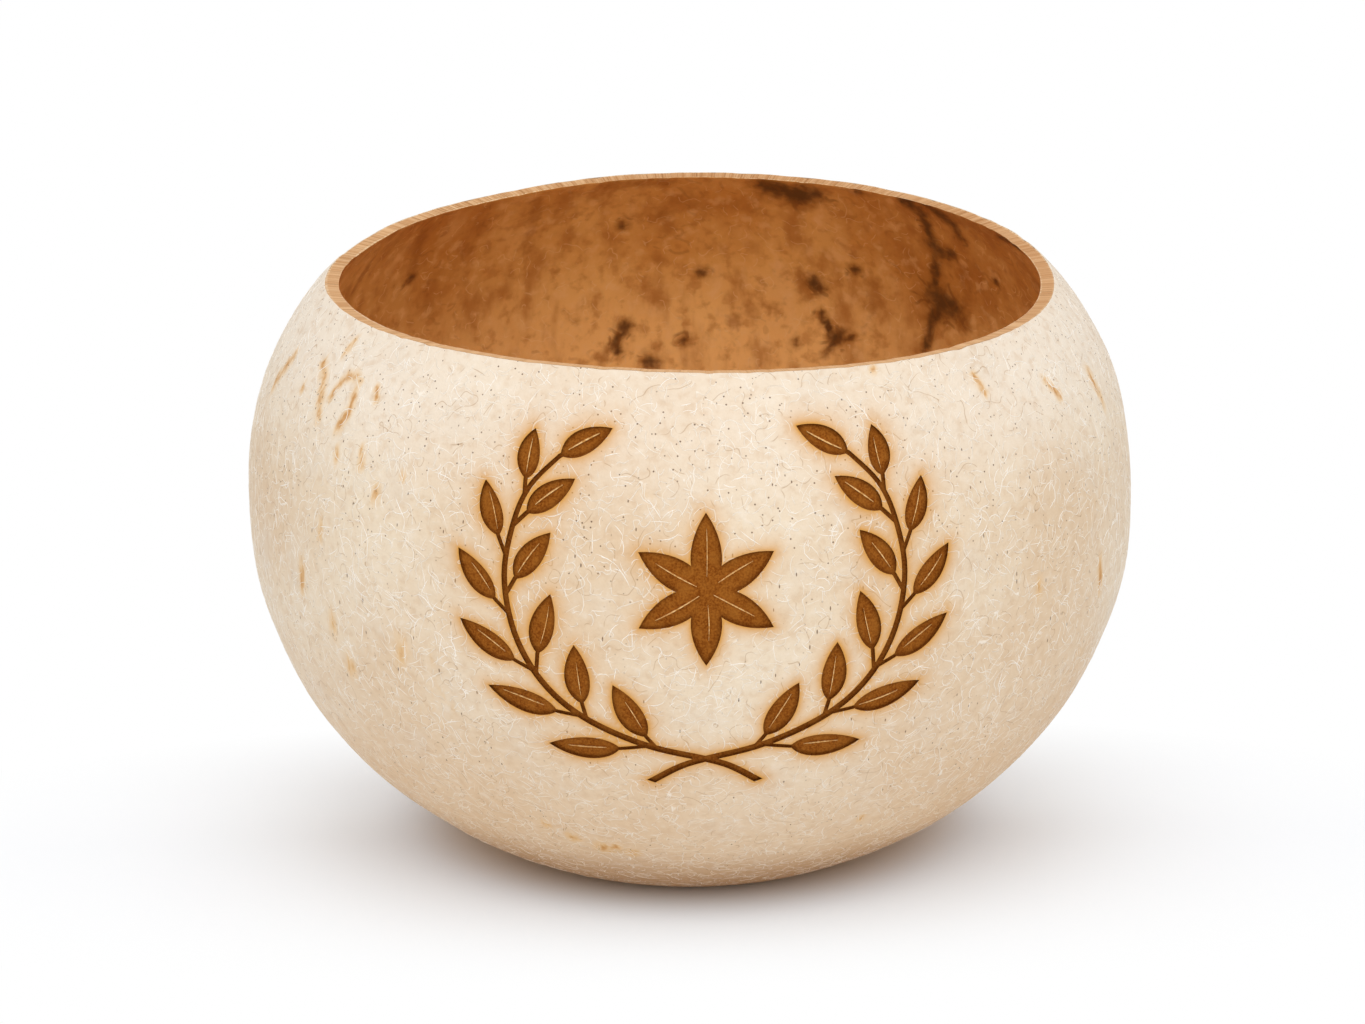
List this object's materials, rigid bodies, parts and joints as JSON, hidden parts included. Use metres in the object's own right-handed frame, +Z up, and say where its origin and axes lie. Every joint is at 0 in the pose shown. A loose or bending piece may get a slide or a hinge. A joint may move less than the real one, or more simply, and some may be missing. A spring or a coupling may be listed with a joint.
{
  "type": "engraved bowl",
  "caption": "Round bowl cut from a natural shell, brown wood inside, pale fibrous skin outside, flat base, open mouth and an engraved laurel wreath on the front.",
  "frame": {"origin": "middle of the flat that the bowl stands on", "axes": "+Z up through the mouth, -Y towards the engraved front, +X to the right of someone who looks at the front"},
  "size_m": [0.13, 0.13, 0.0867],
  "materials": {
    "brown_wood": "smooth oiled brown shell wood, mottled inside, radial grain on the cut rim",
    "pale_skin": "satin cream skin with short pale fibres, small dark specks and orange stains",
    "burnt_wood": "matt grainy browned wood at the bottom of the engraving"
  },
  "bodies": {
    "root": {"woody_shell": "brown_wood", "pale_skin": "pale_skin", "laurel_burn": "burnt_wood", "rosette_burn": "burnt_wood"}
  },
  "joints": []
}
